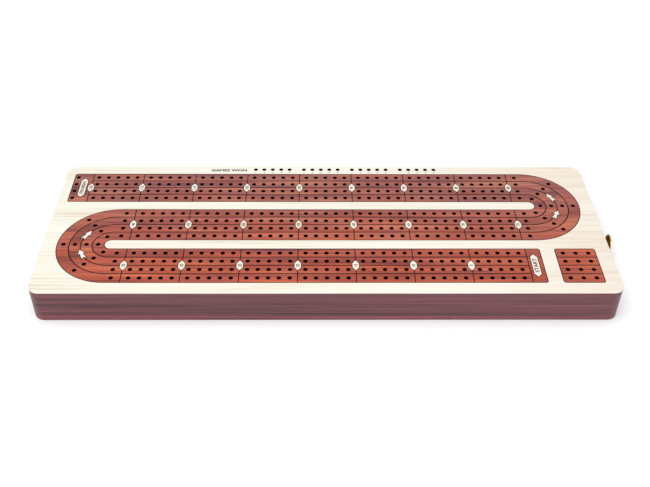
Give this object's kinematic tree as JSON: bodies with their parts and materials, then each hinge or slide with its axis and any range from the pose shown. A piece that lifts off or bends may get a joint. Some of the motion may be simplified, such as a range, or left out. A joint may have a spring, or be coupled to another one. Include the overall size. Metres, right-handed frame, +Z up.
{
  "type": "cribbage board",
  "caption": "Flat wooden scoring board with inlaid four-lane S-shaped track, blind peg holes, peg park, and an end drawer with a turned brass knob holding pegs.",
  "frame": {"origin": "centre of the underside, on the plane the board rests on", "axes": "+X along the length towards the drawer's knob, +Y from the start run towards the finish run, +Z up out of the playing face"},
  "size_m": [0.4695, 0.164, 0.0293],
  "materials": {
    "case_wood": "satin",
    "maple": "satin",
    "lane_wood_1": "satin",
    "lane_wood_2": "satin",
    "lane_wood_3": "satin",
    "lane_wood_4": "satin",
    "panel_wood": "satin",
    "black_stringing": "satin",
    "drawer_wood": "satin",
    "brass": "polished",
    "nickel": "polished",
    "black_metal": "satin",
    "copper": "polished"
  },
  "bodies": {
    "board": {"base_panel": "case_wood", "front_rail": "case_wood", "back_rail": "case_wood", "end_block": "case_wood", "top_slab": "case_wood", "maple_field": "maple", "lane_1_start_run": "lane_wood_1", "lane_2_start_run": "lane_wood_2", "lane_3_start_run": "lane_wood_3", "lane_4_start_run": "lane_wood_4", "lane_1_left_turn": "lane_wood_1", "lane_2_left_turn": "lane_wood_2", "lane_3_left_turn": "lane_wood_3", "lane_4_left_turn": "lane_wood_4", "lane_1_middle_run": "lane_wood_1", "lane_2_middle_run": "lane_wood_2", "lane_3_middle_run": "lane_wood_3", "lane_4_middle_run": "lane_wood_4", "lane_1_right_turn": "lane_wood_1", "lane_2_right_turn": "lane_wood_2", "lane_3_right_turn": "lane_wood_3", "lane_4_right_turn": "lane_wood_4", "lane_1_finish_run": "lane_wood_1", "lane_2_finish_run": "lane_wood_2", "lane_3_finish_run": "lane_wood_3", "lane_4_finish_run": "lane_wood_4", "start_panel": "panel_wood", "finish_panel": "panel_wood", "peg_park_strips": "panel_wood", "border_lines": "black_stringing", "count_lines": "black_stringing", "peg_park_lines": "black_stringing", "marker_lines": "black_stringing", "lane_lines_start_run": "black_stringing", "lane_lines_left_turn": "black_stringing", "lane_lines_middle_run": "black_stringing", "lane_lines_right_turn": "black_stringing", "lane_lines_finish_run": "black_stringing", "medallions_start_run": "maple", "medallions_middle_run": "maple", "medallions_finish_run": "maple", "arrows_left_turn": "maple", "arrows_right_turn": "maple", "start_plaque": "maple", "finish_plaque": "maple"},
    "drawer": {"drawer_front": "case_wood", "drawer_side_front": "drawer_wood", "drawer_side_back": "drawer_wood", "drawer_back": "drawer_wood", "drawer_bottom": "drawer_wood", "drawer_long_divider": "drawer_wood", "drawer_cross_dividers": "drawer_wood", "drawer_stop_pin": "brass", "knob": "brass", "knob_screw": "brass", "pegs_brass": "brass", "pegs_nickel": "nickel", "pegs_black": "black_metal", "pegs_copper": "copper"}
  },
  "joints": [
    {"name": "drawer_slide", "type": "slide", "parent": "board", "child": "drawer", "axis": [1, 0, 0], "range_m": [0, 0.12]}
  ]
}
